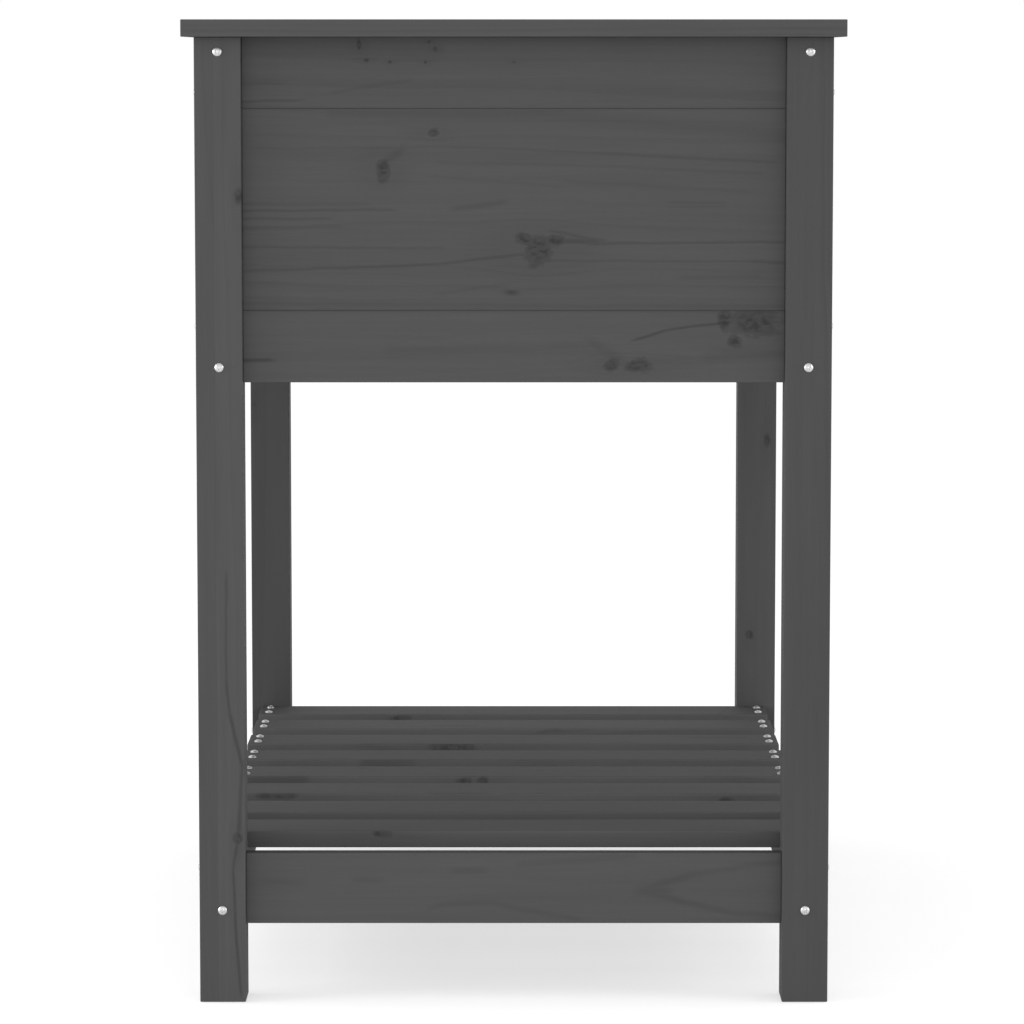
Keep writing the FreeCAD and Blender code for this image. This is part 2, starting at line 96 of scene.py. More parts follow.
def make_knot_group():
    """One knot: its dark heart, the halo where the rings crowd, and how far it pushes the grain aside."""
    tree, takes, gives = new_group("Knot", [
        ("Grain", "Vector", None), ("Place", "Vector", None), ("Size", "Vector", (6, 6, 400)),
        ("Lift", "Float", 0.0), ("Heart", "Float", 0.0), ("Halo", "Float", 0.0)],
        ["Lift", "Heart", "Halo"])
    away = put(tree, "VectorMath", takes["Grain"], takes["Place"], operation="SUBTRACT").outputs[0]
    size = put(tree, "SeparateXYZ", takes["Size"]).outputs
    ratio = put(tree, "VectorMath", away, takes["Size"], operation="DIVIDE").outputs[0]
    parts = put(tree, "SeparateXYZ", ratio).outputs
    distance = put(tree, "VectorMath", ratio, operation="LENGTH").outputs["Value"]
    coarse = streaky(tree, takes["Grain"], (11, 8, 30), 1.0)
    fine = streaky(tree, takes["Grain"], (5.5, 3.4, 9), 2.0)
    reach = calc(tree, "MULTIPLY_ADD", fine, 0.9, calc(tree, "MULTIPLY_ADD", coarse, 0.8, distance))
    core = soft_step(tree, reach, 0.45, 1.12, 1.0, 0.0)
    bark = calc(tree, "MULTIPLY", soft_step(tree, reach, 0.6, 0.85), soft_step(tree, reach, 0.9, 1.15, 1.0, 0.0))
    spots = soft_step(tree, fine, -0.12, 0.14, 0.45, 1.0)
    heart = calc(tree, "MULTIPLY_ADD", core, spots, calc(tree, "MULTIPLY", bark, 0.16))
    real = calc(tree, "GREATER_THAN", size[0], 0.5)
    tree.links.new(calc(tree, "MAXIMUM", takes["Heart"], calc(tree, "MULTIPLY", heart, real)), gives["Heart"])
    stretched = calc(tree, "MULTIPLY", parts[0], 0.42)
    flow = calc(tree, "SQRT", calc(
        tree, "ADD", calc(tree, "MULTIPLY", stretched, stretched), calc(tree, "MULTIPLY", parts[1], parts[1])))
    halo = calc(tree, "MULTIPLY", soft_step(tree, flow, 0.7, 2.6, 1.0, 0.0), real)
    tree.links.new(calc(tree, "MAXIMUM", takes["Halo"], halo), gives["Halo"])
    push = calc(tree, "DIVIDE", soft_step(tree, flow, 1.0, 3.6, 0.8, 0.0),
                calc(tree, "MAXIMUM", 1.0, calc(tree, "MULTIPLY", flow, flow)))
    push = calc(tree, "MULTIPLY", calc(tree, "MULTIPLY", push, real), calc(tree, "MULTIPLY", parts[1], size[1]))
    tree.links.new(calc(tree, "SUBTRACT", takes["Lift"], push), gives["Lift"])
    return tree


def make_streak_group():
    """One dark line along the grain, from one point to another, fading at its edges and ends. Some of these lines are
    painted shade along seams and under the rim.
    """
    tree, takes, gives = new_group("Dark streak and painted shade", [
        ("Grain", "Vector", None), ("From", "Vector", None), ("To", "Vector", None),
        ("Width", "Float", 1.0), ("Strength", "Float", 0.5), ("Lines", "Float", 0.0)], ["Lines"])
    start = put(tree, "SeparateXYZ", takes["From"]).outputs
    end = put(tree, "SeparateXYZ", takes["To"]).outputs
    here = put(tree, "SeparateXYZ", takes["Grain"]).outputs
    past = calc(tree, "SUBTRACT", here[0], start[0])
    left = calc(tree, "SUBTRACT", end[0], here[0])
    part = calc(tree, "DIVIDE", past, calc(tree, "SUBTRACT", end[0], start[0]))
    line = calc(tree, "MULTIPLY_ADD", part, calc(tree, "SUBTRACT", end[1], start[1]), start[1])
    sway = calc(tree, "MULTIPLY", streaky(tree, takes["Grain"], (38, 400, 60)), 2.6)
    ragged = calc(tree, "MULTIPLY_ADD", streaky(tree, takes["Grain"], (17, 3, 9)), 0.8, 1.0)
    off = calc(tree, "ABSOLUTE", calc(tree, "ADD", calc(tree, "SUBTRACT", here[1], line), sway))
    reach = calc(tree, "MULTIPLY", takes["Width"], ragged)
    thin = soft_step(tree, calc(tree, "DIVIDE", off, reach), 0.1, 1.15, 1.0, 0.0)
    ends = calc(tree, "MULTIPLY", soft_step(tree, past, -8.0, 3.0), soft_step(tree, left, -8.0, 3.0))
    mark = calc(tree, "MULTIPLY", calc(tree, "MULTIPLY", thin, ends), takes["Strength"])
    tree.links.new(calc(tree, "MAXIMUM", takes["Lines"], mark), gives["Lines"])
    return tree


def make_pine_group():
    """The stained pine itself: yearly rings round a pith, fibres, chance knots, end grain, lighter arrises, and
    painted light that lifts the shade on the faces across the board.
    """
    tree, takes, gives = new_group("Stained pine", [
        ("Grain", "Vector", None), ("Half size", "Vector", None), ("Board", "Float", 0.0),
        ("Lift", "Float", 0.0), ("Heart", "Float", 0.0), ("Halo", "Float", 0.0), ("Lines", "Float", 0.0),
        ("Chance knots", "Float", 1.0), ("Pith across", "Float", 0.0), ("Pith depth", "Float", 45.0),
        ("Pith play", "Float", 1.0), ("Slope", "Float", 0.0), ("Ring", "Float", 5.2),
        ("Ring depth", "Float", 1.0), ("Tone", "Float", 1.0), ("Edge", "Float", 0.0)],
        ["Shade", "Roughness", "Height"])
    luck = put(tree, "TexWhiteNoise", None, calc(tree, "ADD", takes["Board"], 0.37), noise_dimensions="1D").outputs[1]
    luck_again = put(
        tree, "TexWhiteNoise", None, calc(tree, "ADD", takes["Board"], 31.71), noise_dimensions="1D").outputs[1]
    first = put(tree, "SeparateColor", luck).outputs
    second = put(tree, "SeparateColor", luck_again).outputs
    moved = put(tree, "VectorMath", luck, (900, 700, 500), operation="MULTIPLY").outputs[0]
    place = put(tree, "VectorMath", takes["Grain"], moved, operation="ADD").outputs[0]
    here = put(tree, "SeparateXYZ", takes["Grain"]).outputs

    cells = put(tree, "VectorMath", place, (1 / 270, 1 / 80, 0), operation="MULTIPLY").outputs[0]
    cell = put(tree, "TexVoronoi", cells, None, 1.0, voronoi_dimensions="2D")
    spot = put(tree, "VectorMath", cell.outputs["Position"], (270, 80, 0), operation="MULTIPLY").outputs[0]
    spot = put(tree, "VectorMath", spot, moved, operation="SUBTRACT").outputs[0]
    chance = put(tree, "SeparateColor", cell.outputs["Color"]).outputs
    wide = calc(tree, "MULTIPLY_ADD", calc(tree, "POWER", chance[0], 1.8), 8.5, 2.4)
    wide = calc(tree, "MULTIPLY", wide, calc(tree, "MULTIPLY", calc(
        tree, "GREATER_THAN", chance[1], 0.3), takes["Chance knots"]))
    size = put(tree, "CombineXYZ", calc(tree, "MULTIPLY", wide, calc(tree, "ADD", chance[2], 0.9)), wide, 400.0)
    flat = put(tree, "VectorMath", takes["Grain"], (1, 1, 0), operation="MULTIPLY").outputs[0]
    knot = tree.nodes.new("ShaderNodeGroup")
    knot.node_tree = bpy.data.node_groups["Knot"]
    for label, socket in (("Grain", flat), ("Place", spot), ("Size", size.outputs[0]), ("Lift", takes["Lift"]),
                          ("Heart", takes["Heart"]), ("Halo", takes["Halo"])):
        tree.links.new(socket, knot.inputs[label])
    lift, heart, halo = knot.outputs

    pith_across = calc(tree, "MULTIPLY_ADD", calc(
        tree, "MULTIPLY", calc(tree, "SUBTRACT", first[0], 0.5), takes["Pith play"]), 150.0, takes["Pith across"])
    pith_depth = calc(tree, "MULTIPLY_ADD", calc(
        tree, "MULTIPLY", calc(tree, "SUBTRACT", first[1], 0.5), takes["Pith play"]), 60.0, takes["Pith depth"])
    slope = calc(tree, "MULTIPLY_ADD", calc(
        tree, "MULTIPLY", calc(tree, "SUBTRACT", first[2], 0.5), takes["Pith play"]), 0.09, takes["Slope"])
    wander = calc(tree, "MULTIPLY", streaky(tree, place, (430, 90, 90), 1.0), 26.0)
    waver = calc(tree, "MULTIPLY", streaky(tree, place, (110, 30, 30), 2.0), 5.0)
    v = calc(tree, "ADD", calc(tree, "SUBTRACT", here[1], pith_across), calc(tree, "ADD", lift, wander))
    v = calc(tree, "ADD", calc(tree, "SUBTRACT", v, calc(tree, "MULTIPLY", slope, here[0])), waver)
    w = calc(tree, "ADD", here[2], pith_depth)
    radius = calc(tree, "SQRT", calc(tree, "ADD", calc(tree, "MULTIPLY", v, v), calc(tree, "MULTIPLY", w, w)))
    slow = put(tree, "TexNoise", None, calc(
        tree, "MULTIPLY_ADD", radius, 0.045, calc(tree, "MULTIPLY", takes["Board"], 7.3)), 1.0, 1.0,
        noise_dimensions="1D").outputs[0]
    year = calc(tree, "MULTIPLY_ADD", slow, 2.4, calc(tree, "DIVIDE", radius, takes["Ring"]))
    phase = calc(tree, "FRACT", year)
    vigour = put(tree, "TexWhiteNoise", None, calc(
        tree, "MULTIPLY_ADD", takes["Board"], 57.0, calc(tree, "FLOOR", year)), noise_dimensions="1D").outputs[0]
    vigour = calc(tree, "MULTIPLY_ADD", calc(tree, "POWER", vigour, 3.0), 0.95, 0.10)
    late = calc(tree, "MULTIPLY", soft_step(tree, phase, 0.25, 0.88), soft_step(tree, phase, 0.92, 1.0, 1.0, 0.0))
    late = calc(tree, "MULTIPLY", calc(tree, "MULTIPLY", late, vigour), calc(tree, "MULTIPLY_ADD", halo, 1.1, 1.0))

    fibre = streaky(tree, place, (42, 0.8, 0.8), 2.0)
    flecks = streaky(tree, place, (150, 3.6, 3.6), 2.0)
    bands = streaky(tree, place, (260, 14, 14), 2.0)
    cloud = streaky(tree, place, (230, 60, 60), 2.0)
    drift = calc(tree, "MULTIPLY_ADD", calc(tree, "SUBTRACT", second[0], 0.5), 0.07, 1.0)

    from_middle = put(tree, "VectorMath", takes["Grain"], operation="ABSOLUTE").outputs[0]
    room = put(tree, "VectorMath", takes["Half size"], from_middle, operation="SUBTRACT").outputs[0]
    gap = put(tree, "SeparateXYZ", room).outputs
    low = calc(tree, "MINIMUM", gap[0], calc(tree, "MINIMUM", gap[1], gap[2]))
    high = calc(tree, "MAXIMUM", gap[0], calc(tree, "MAXIMUM", gap[1], gap[2]))
    middle = calc(tree, "SUBTRACT", calc(tree, "SUBTRACT", calc(
        tree, "ADD", gap[0], calc(tree, "ADD", gap[1], gap[2])), low), high)
    # Close to the rounded edges the wood is made a little lighter, in patches.
    arris_patches = calc(tree, "MULTIPLY_ADD", streaky(tree, place, (26, 9, 9), 3.0), 4.0, 0.5)
    lighter_arris = calc(tree, "MULTIPLY", soft_step(tree, middle, 0.3, 1.9, 1.0, 0.0),
                soft_step(tree, arris_patches, 0.1, 0.9, 0.25, 1.0))
    cut = soft_step(tree, gap[0], 0.35, 0.6, 1.0, 0.0)
    # Painted light: the faces on either side across the board are made lighter, to lift the shade that falls on them.
    edge = calc(tree, "MULTIPLY", soft_step(tree, gap[1], 0.2, 0.9, 1.0, 0.0), takes["Edge"])

    shade = calc(tree, "MULTIPLY_ADD", calc(tree, "MULTIPLY", late, takes["Ring depth"]), -0.17, 1.02)
    for part, depth in ((fibre, -0.09), (flecks, -0.12), (bands, -0.15), (cloud, -0.14), (takes["Lines"], -0.55),
                        (halo, -0.06), (lighter_arris, 0.07), (cut, -0.17), (edge, 1.0)):
        shade = calc(tree, "MULTIPLY", shade, calc(tree, "MULTIPLY_ADD", part, depth, 1.0))
    shade = calc(tree, "MULTIPLY", shade, calc(tree, "MULTIPLY_ADD", heart, -0.56, 1.0))
    shade = calc(tree, "MULTIPLY", shade, calc(tree, "MULTIPLY", drift, takes["Tone"]))
    tree.links.new(calc(tree, "MULTIPLY", shade, STAIN), gives["Shade"])
    rough = calc(tree, "MULTIPLY_ADD", fibre, 0.16, 0.74)
    rough = calc(tree, "MULTIPLY_ADD", cut, 0.15, calc(tree, "MULTIPLY_ADD", heart, -0.12, rough))
    tree.links.new(rough, gives["Roughness"])
    height = calc(tree, "MULTIPLY_ADD", fibre, -0.9, calc(tree, "MULTIPLY", late, -0.6))
    tree.links.new(calc(tree, "MULTIPLY_ADD", heart, -0.5, height), gives["Height"])
    return tree


def stained_pine(name, knots=(), streaks=(), glue_line=None, **looks):
    """Grey-stained pine. Knots are (along, across, half length, half width) and streaks (along, across, along,
    across, half width, strength), in millimetres from the middle of the board. In a row of boards each starts
    with its board's number, and a knot ends with its depth and half depth."""
    finish = bpy.data.materials.new(name)
    finish.use_nodes = True
    tree = finish.node_tree
    tree.nodes.clear()
    grain = put(tree, "Attribute", attribute_name="grain").outputs["Vector"]
    half = put(tree, "Attribute", attribute_name="half_size").outputs["Vector"]
    board = put(tree, "Attribute", attribute_name="board").outputs["Fac"]
    if glue_line is not None:
        side = put(tree, "SeparateXYZ", grain).outputs[1]
        inner = calc(tree, "GREATER_THAN", side, glue_line)
        board = calc(tree, "ADD", board, inner)
    last = {"Lift": None, "Heart": None, "Halo": None, "Lines": None}

    def add_mark(group, carried, **values):
        """One more knot or streak, on top of those already there."""
        mark = tree.nodes.new("ShaderNodeGroup")
        mark.node_tree = bpy.data.node_groups[group]
        tree.links.new(grain, mark.inputs["Grain"])
        for label, value in values.items():
            if isinstance(value, bpy.types.NodeSocket):
                tree.links.new(value, mark.inputs[label])
            else:
                mark.inputs[label].default_value = value
        for label in carried:
            if last[label]:
                tree.links.new(last[label], mark.inputs[label])
            last[label] = mark.outputs[label]

    for knot in knots:
        number = knot[0] if len(knot) == 7 else None
        along, across, long, wide, depth, deep = knot[1:] if len(knot) == 7 else (*knot, 0, 400)
        place = (along, across, depth)
        if number is not None:
            elsewhere = calc(tree, "SUBTRACT", 1.0, calc(tree, "COMPARE", board, number, 0.5))
            place = put(tree, "VectorMath", elsewhere, (9000, 9000, 9000), place, operation="MULTIPLY_ADD").outputs[0]
        add_mark("Knot", ("Lift", "Heart", "Halo"), Place=place, Size=(long, wide, deep))
    for streak in streaks:
        along, across, far_along, far_across, wide, strength = streak[-6:]
        if len(streak) == 7:
            strength = calc(tree, "MULTIPLY", calc(tree, "COMPARE", board, streak[0], 0.5), strength)
        add_mark("Dark streak and painted shade", ("Lines",), From=(along, across, 0), To=(far_along, far_across, 0),
                 Width=wide, Strength=strength)
    pine = tree.nodes.new("ShaderNodeGroup")
    pine.node_tree = bpy.data.node_groups["Stained pine"]
    for label, socket in (("Grain", grain), ("Half size", half), ("Board", board), *last.items()):
        if socket:
            tree.links.new(socket, pine.inputs[label])
    for label, value in looks.items():
        pine.inputs[label.replace("_", " ").capitalize()].default_value = value
    shade = pine.outputs["Shade"]
    if glue_line is not None:
        seam = soft_step(tree, calc(tree, "ABSOLUTE", calc(tree, "SUBTRACT", side, glue_line)), 0.15, 0.5, 0.9, 1.0)
        lighter = calc(tree, "MULTIPLY_ADD", inner, 0.09, 0.96)
        shade = calc(tree, "MULTIPLY", calc(tree, "MULTIPLY", shade, seam), lighter)
    bump = put(tree, "Bump", 0.7, 0.00010, None, pine.outputs["Height"])
    skin = put(tree, "BsdfPrincipled")
    skin.inputs["Specular IOR Level"].default_value = 0.15
    tree.links.new(put(tree, "CombineColor", shade, shade, shade).outputs[0], skin.inputs["Base Color"])
    tree.links.new(pine.outputs["Roughness"], skin.inputs["Roughness"])
    tree.links.new(bump.outputs["Normal"], skin.inputs["Normal"])
    tree.links.new(skin.outputs[0], put(tree, "OutputMaterial").inputs[0])
    return finish


def mark_grain(mesh, low, high, run, across, number):
    """Writes on every corner of a board where it lies in its own grain, for the pine to follow."""
    depth = 3 - run - across
    order = (run, across, depth)
    middle = (low + high) / 2
    half = (high - low) / 2 * 1000
    mesh.attributes.new("grain", "FLOAT_VECTOR", "POINT")
    mesh.attributes.new("half_size", "FLOAT_VECTOR", "POINT")
    mesh.attributes.new("board", "FLOAT", "POINT")
    for corner in mesh.vertices:
        off = (corner.co - middle) * 1000
        mesh.attributes["grain"].data[corner.index].vector = [off[axis] for axis in order]
        mesh.attributes["half_size"].data[corner.index].vector = [half[axis] for axis in order]
        mesh.attributes["board"].data[corner.index].value = number


def saw_board(name, low, high, run, across, number, finish, arris, profile=None):
    """A board with rounded edges, its grain along one axis. profile is the outline of its end, counted
    from the middle as (across, depth), where that isn't a plain rectangle."""
    depth = 3 - run - across
    middle = (low + high) / 2
    half = (high - low) / 2
    if profile is None:
        profile = [(-half[across], -half[depth]), (half[across], -half[depth]),
                   (half[across], half[depth]), (-half[across], half[depth])]
    shape = bmesh.new()
    ends = []
    for side in (low[run], high[run]):
        corners = []
        for a, d in profile:
            place = Vector()
            place[run], place[across], place[depth] = side, middle[across] + a, middle[depth] + d
            corners.append(shape.verts.new(place))
        ends.append(corners)
        shape.faces.new(corners)
    for here in range(len(profile)):
        there = (here + 1) % len(profile)
        shape.faces.new((ends[0][here], ends[0][there], ends[1][there], ends[1][here]))
    bmesh.ops.bevel(shape, geom=shape.edges[:], offset=arris, segments=3, profile=0.5, affect="EDGES")
    bmesh.ops.recalc_face_normals(shape, faces=shape.faces)
    mesh = bpy.data.meshes.new(name)
    shape.to_mesh(mesh)
    shape.free()
    mark_grain(mesh, low, high, run, across, number)
    mesh.materials.append(finish)
    board = bpy.data.objects.new(name, mesh)
    bpy.context.scene.collection.objects.link(board)
    return board


def smooth_arris(board):
    """Shades the rounded edges smoothly and leaves the broad faces flat."""
    board.data.shade_smooth()
    board.data.set_sharp_from_angle(angle=math.radians(50))
    flat = board.modifiers.new("Flat faces", "WEIGHTED_NORMAL")
    flat.keep_sharp = True
    flat.weight = 100
    as_mesh(board)


def as_mesh(piece):
    """Turns what the modifiers give into the plain mesh, and takes them off."""
    bpy.context.view_layer.update()
    done = bpy.data.meshes.new_from_object(piece.evaluated_get(bpy.context.evaluated_depsgraph_get()))
    piece.modifiers.clear()
    piece.data = done
    done.name = piece.name


def fix_in_place(piece, *stands_for, slot="stained_pine"):
    """Hides the parts the piece stands for and hangs the piece on the root body. slot is not used."""
    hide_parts(*stands_for)
    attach(piece, "root")


make_knot_group()
make_streak_group()
make_pine_group()
plain_pine = stained_pine("grey_pine")
dark_leg_pine = stained_pine("grey_pine_dark_leg", pith_depth=30, ring_depth=0.5, tone=0.89)
light_leg_pine = stained_pine(
    "grey_pine_light_leg", pith_depth=30, ring_depth=0.5, chance_knots=0.0, tone=1.05,
    knots=[(4, 10, 8, 4), (-190, -6, 5, 4)])
glued_pine = stained_pine(
    "grey_pine_glued_leg", glue_line=GLUE_LINE, ring_depth=0.5, chance_knots=0.0,
    knots=[(269, 17, 8, 4), (-261, 13, 5, 4)],
    streaks=[(-391, 15, -362, 13, 1.9, 0.5), (-362, 13, -321, 10, 1.9, 0.55), (-321, 10, -288, 9, 1.8, 0.55),
             (-288, 9, -268, 12, 2.0, 0.45), (-254, 14, -200, 17, 2.4, 0.45), (-200, 17, -157, 7, 2.4, 0.55),
             (-157, 7, -130, 4.5, 2.0, 0.5), (-130, 4.5, -42, 4.6, 1.7, 0.38)])

for number, (node, finish) in enumerate((
        ("leg_front_right", glued_pine), ("leg_back_right", dark_leg_pine),
        ("leg_front_left", dark_leg_pine), ("leg_back_left", light_leg_pine))):
    leg = saw_board("pine_" + node, *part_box(node), 2, 1, 1 + 2 * number, finish, LEG_ARRIS)
    smooth_arris(leg)
    fix_in_place(leg, node)


# WALLS OF THE TROUGH
# Each wall is three pine boards lying on edge, tongued and grooved together: a narrow one, a wide one
# and a narrow one under the rim. They stop against the legs.

BOARD_ARRIS = 0.0006
TONGUE_HIGH = 0.005
TONGUE_HALF = 0.002
GROOVE_HALF = 0.0023
GROOVE_DEEP = 0.0053


def wall_outline(low, high, depth, tongue, groove):
    """The end of a wall board, from its middle: a tongue on the upper edge, a groove in the lower one."""
    half = (high.z - low.z) / 2
    thick = (high[depth] - low[depth]) / 2
    top = half - TONGUE_HIGH if tongue else half
    outline = [(-half, -thick)]
    if tongue:
        outline += [(top, -thick), (top, -TONGUE_HALF), (half, -TONGUE_HALF), (half, TONGUE_HALF),
                    (top, TONGUE_HALF), (top, thick)]
    else:
        outline += [(half, -thick), (half, thick)]
    outline += [(-half, thick)]
    if groove:
        outline += [(-half, GROOVE_HALF), (-half + GROOVE_DEEP, GROOVE_HALF),
                    (-half + GROOVE_DEEP, -GROOVE_HALF), (-half, -GROOVE_HALF)]
    return outline


middle_right_pine = stained_pine(
    "grey_pine_right_middle", chance_knots=0.0, pith_play=0.0, pith_across=-150, pith_depth=40, slope=-0.02,
    ring=9.0, ring_depth=0.45,
    knots=[(-66, 60, 5, 4), (-107, 29, 6, 10), (20, -36, 12, 14), (8, -26, 8, 6), (34, -27, 8, 5)],
    streaks=[(-150, 78, 40, 76, 7, 0.2), (30, 76, 222, 58, 9, 0.15), (-209, 47, -52, 49, 1.6, 0.13),
             (-52, 49, 63, 44, 1.6, 0.18), (63, 44, 212, 36, 2, 0.24), (-61, 36, 71, 33, 2, 0.12),
             (71, 33, 203, 27, 2.2, 0.16), (-69, 25, 38, 16, 2, 0.12), (42, 21, 190, 12, 2.5, 0.12),
             (-104, 37, -92, 46, 6, 0.25), (-48, -2, -9, 3, 3.4, 0.26), (129, 3.5, 170, 3, 1.6, 0.2),
             (129, 0, 170, 0, 1.6, 0.16),
             (-222, 2, -122, 2, 2.5, 0.15), (-222, -3.5, -100, -2.5, 1.6, 0.28), (-222, -10, -152, -10, 1.6, 0.27),
             (-222, -18, -143, -16, 2.2, 0.16), (-222, -33, -60, -34, 1.8, 0.22), (-222, -53, -143, -50, 1.8, 0.28),
             (-143, -50, -61, -47, 1.8, 0.32), (-61, -47, 6, -39, 2, 0.34), (32, -20, 74, -28, 2.2, 0.3),
             (34, -28, 70, -28, 3.2, 0.4),
             (63, -30, 222, -29, 1.8, 0.36), (30, -44, 222, -45, 1.6, 0.25),
             (195, -45, 222, -46, 1.8, 0.35), (137, -58, 199, -57, 3, 0.14), (-4, -70, 0, -70, 3, 0.75),
             # The three streaks that run the whole length close to the top and bottom edges are painted shade at the
             # seams.
             (-61, -71, -9, -64, 2.2, 0.15), (-222, -80, 222, -82, 3, 0.2),
             (-222, 79.5, 222, 79.5, 2, 0.22), (-222, -84.5, 222, -84.5, 2, 0.3)])
lower_right_pine = stained_pine(
    "grey_pine_right_lower", chance_knots=0.0, pith_play=0.0, pith_across=70, pith_depth=30, slope=0.03,
    ring=9.0, ring_depth=0.45,
    knots=[(197, 17, 21, 13), (173, 20, 6, 10), (181, 2, 6, 6), (102, -18, 12, 6.5), (80, -18, 7, 6)],
    streaks=[(100, 3, 125, 11, 1.8, 0.55), (125, 11, 145, 14, 1.6, 0.55), (145, 14, 174, 17, 1.8, 0.55),
             (-222, -14, -200, -14, 2.4, 0.6), (-102, -7, 71, -4, 8, 0.12), (63, 1, 88, -14, 7, 0.22),
             # The last streak, along the whole top edge under the tongue, is painted shade at the seam.
             (158, -12, 222, -8, 6, 0.2), (-222, 26.5, 222, 26.5, 2, 0.2)])
upper_right_pine = stained_pine(
    "grey_pine_right_upper", chance_knots=0.0, pith_play=0.0, pith_across=90, pith_depth=25, slope=-0.02,
    ring=9.0, ring_depth=0.4,
    knots=[(-126, 23, 2.2, 4.5), (-120, 10, 2.6, 1.8), (-101, 8.5, 1.8, 1.4), (-72, 8.5, 1.6, 1.3),
           (-64, 19, 1.9, 1.9), (-69, 25, 1.6, 1.2), (0, 8.5, 1.6, 1.2)],
    # The first streak, wide and soft along the top of the board from its front end, is a painted shadow under the
    # rim.
    streaks=[(-222, 22, -60, 19, 12, 0.13), (-222, -10, -189, -9, 2, 0.18), (-222, -24, -174, -22, 1.8, 0.34),
             # The last streak, along the whole bottom edge, is painted shade at the seam.
             (-147, -16, -85, -6, 2.4, 0.14), (-222, -28.5, 222, -28.5, 2, 0.15)])
middle_pine = stained_pine("grey_pine_middle", pith_depth=60, ring=7.0)
right_pines = {"lower": lower_right_pine, "middle": middle_right_pine, "upper": upper_right_pine}

for number, wall in enumerate(("right", "left", "front", "back")):
    run = 1 if wall in ("right", "left") else 0
    for row, height in enumerate(("lower", "middle", "upper")):
        node = f"{wall}_wall_{height}_board"
        low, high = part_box(node)
        outline = wall_outline(low, high, 1 - run, height != "upper", height != "lower")
        finish = right_pines[height] if wall == "right" else middle_pine if height == "middle" else plain_pine
        board = saw_board("pine_" + node, low, high, run, 2, 20 + 3 * number + row, finish, BOARD_ARRIS, outline)
        smooth_arris(board)
        fix_in_place(board, node)


# RAILS
# Four pine rails on edge between the legs, close to the ground. The long ones carry the shelf.

right_rail_pine = stained_pine(
    "grey_pine_right_rail", chance_knots=0.0, pith_play=0.0, pith_across=0, pith_depth=24, ring=12.0, ring_depth=0.15,
    tone=1.04,
    streaks=[(107, -1, 151, 12, 4.5, 0.24), (151, 12, 197, 19, 4, 0.2), (197, 19, 222, 22, 4, 0.2),
             (107, -2, 143, -12, 4.5, 0.26), (143, -12, 181, -21, 4, 0.24), (181, -21, 222, -23, 4, 0.22),
             (104, -2, 128, -2, 6, 0.24), (-50, 15, -25, 15, 4, 0.2), (-131, 7, -111, 7, 4, 0.18),
             (-70, -17, -54, -13, 3.5, 0.16), (-54, -13, -20, -12, 3.5, 0.18), (-20, -12, 0, -17, 3.5, 0.16),
             (0, -17, 55, -26, 3.5, 0.16), (5, 20, 98, 27, 4, 0.14), (-204, 5, -180, 5, 3, 0.12)])
for number, side in enumerate(("right", "left", "front", "back")):
    node = side + "_rail"
    rail = saw_board("pine_" + node, *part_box(node), 1 if side in ("right", "left") else 0, 2, 40 + number,
                     right_rail_pine if side == "right" else plain_pine, BOARD_ARRIS)
    smooth_arris(rail)
    fix_in_place(rail, node)


# SHELF
# Eight pine slats with gaps between them, laid across the long rails and screwed down at each end.

SLAT_ARRIS = 0.0012


def make_row_tree():
    """Lays copies of one board side by side, each a little off along its length, with its own number."""
    tree = bpy.data.node_groups.new("Row of boards", "GeometryNodeTree")
    for label, kind in (("Geometry", "Geometry"), ("Count", "Int"), ("Start", "Vector"), ("Step", "Vector"),
                        ("Play", "Vector"), ("First number", "Int"), ("Finish", "Material")):
        tree.interface.new_socket(label, in_out="INPUT", socket_type="NodeSocket" + kind)
    tree.interface.new_socket("Geometry", in_out="OUTPUT", socket_type="NodeSocketGeometry")
    takes = tree.nodes.new("NodeGroupInput").outputs
    gives = tree.nodes.new("NodeGroupOutput").inputs
    line = tree.nodes.new("GeometryNodeMeshLine")
    copies = tree.nodes.new("GeometryNodeInstanceOnPoints")
    chance = tree.nodes.new("FunctionNodeRandomValue")
    chance.data_type = "FLOAT_VECTOR"
    chance.inputs["Seed"].default_value = 11
    back = tree.nodes.new("ShaderNodeVectorMath")
    back.operation = "SCALE"
    back.inputs["Scale"].default_value = -1.0
    shift = tree.nodes.new("GeometryNodeSetPosition")
    index = tree.nodes.new("GeometryNodeInputIndex")
    total = tree.nodes.new("ShaderNodeMath")
    store = tree.nodes.new("GeometryNodeStoreNamedAttribute")
    store.data_type, store.domain = "FLOAT", "INSTANCE"
    store.inputs["Name"].default_value = "board"
    realize = tree.nodes.new("GeometryNodeRealizeInstances")
    paint = tree.nodes.new("GeometryNodeSetMaterial")
    for start, end in (
            (takes["Count"], line.inputs["Count"]), (takes["Start"], line.inputs["Start Location"]),
            (takes["Step"], line.inputs["Offset"]), (takes["Play"], chance.inputs["Max"]),
            (takes["Play"], back.inputs[0]), (back.outputs[0], chance.inputs["Min"]),
            (line.outputs["Mesh"], shift.inputs["Geometry"]), (chance.outputs["Value"], shift.inputs["Offset"]),
            (shift.outputs["Geometry"], copies.inputs["Points"]), (takes["Geometry"], copies.inputs["Instance"]),
            (index.outputs[0], total.inputs[0]), (takes["First number"], total.inputs[1]),
            (copies.outputs["Instances"], store.inputs["Geometry"]), (total.outputs[0], store.inputs["Value"]),
            (store.outputs["Geometry"], realize.inputs["Geometry"]),
            (realize.outputs["Geometry"], paint.inputs["Geometry"]), (takes["Finish"], paint.inputs["Material"]),
            (paint.outputs["Geometry"], gives["Geometry"])):
        tree.links.new(start, end)
    return tree


def give_tree(piece, tree, **values):
    """Puts a tree on the piece with the named inputs set, and turns the result into a plain mesh."""
    work = piece.modifiers.new(tree.name, "NODES")
    work.node_group = tree
    for item in tree.interface.items_tree:
        key = item.name.lower().replace(" ", "_")
        if item.in_out == "INPUT" and key in values:
            work[item.identifier] = values[key]
    as_mesh(piece)


